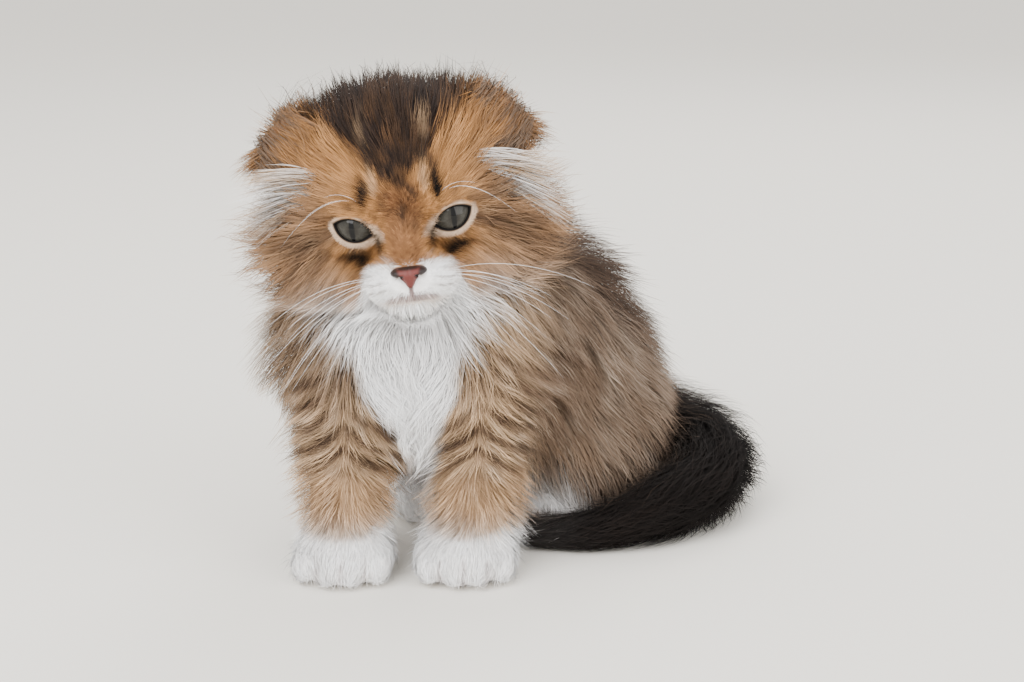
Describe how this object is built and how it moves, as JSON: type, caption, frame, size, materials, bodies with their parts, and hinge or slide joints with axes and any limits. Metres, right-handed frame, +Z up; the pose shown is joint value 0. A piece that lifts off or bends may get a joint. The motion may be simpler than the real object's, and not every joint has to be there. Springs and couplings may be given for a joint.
{
  "type": "seated long-haired folded-ear kitten",
  "caption": "Seated life-size long-haired kitten with folded ears, white bib and paws, and a dark tail laid round its hip.",
  "frame": {"origin": "middle of the whole kitten's bounding box at floor level", "axes": "+X towards the kitten's left, where its hips and tail lie, +Y towards its back, +Z up"},
  "size_m": [0.2052, 0.1706, 0.1885],
  "materials": {
    "golden_coat": "long soft fur, golden brown tabby",
    "white_coat": "long soft fur, white",
    "dark_coat": "long soft fur, brown black",
    "eye": "wet, grey green iris",
    "nose_leather": "moist, brick red with a dark rim"
  },
  "bodies": {
    "root": {"head": "golden_coat", "nose": "nose_leather", "eye_left": "eye", "eye_right": "eye", "ear_left": "dark_coat", "ear_right": "dark_coat", "neck": "golden_coat", "torso": "golden_coat", "front_leg_left": "golden_coat", "front_leg_right": "golden_coat", "front_paw_left": "white_coat", "front_paw_right": "white_coat", "thigh_left": "golden_coat", "thigh_right": "golden_coat", "hind_paw_left": "white_coat", "hind_paw_right": "white_coat", "tail_base": "dark_coat", "tail_middle": "dark_coat", "tail_tip": "dark_coat"}
  },
  "joints": []
}
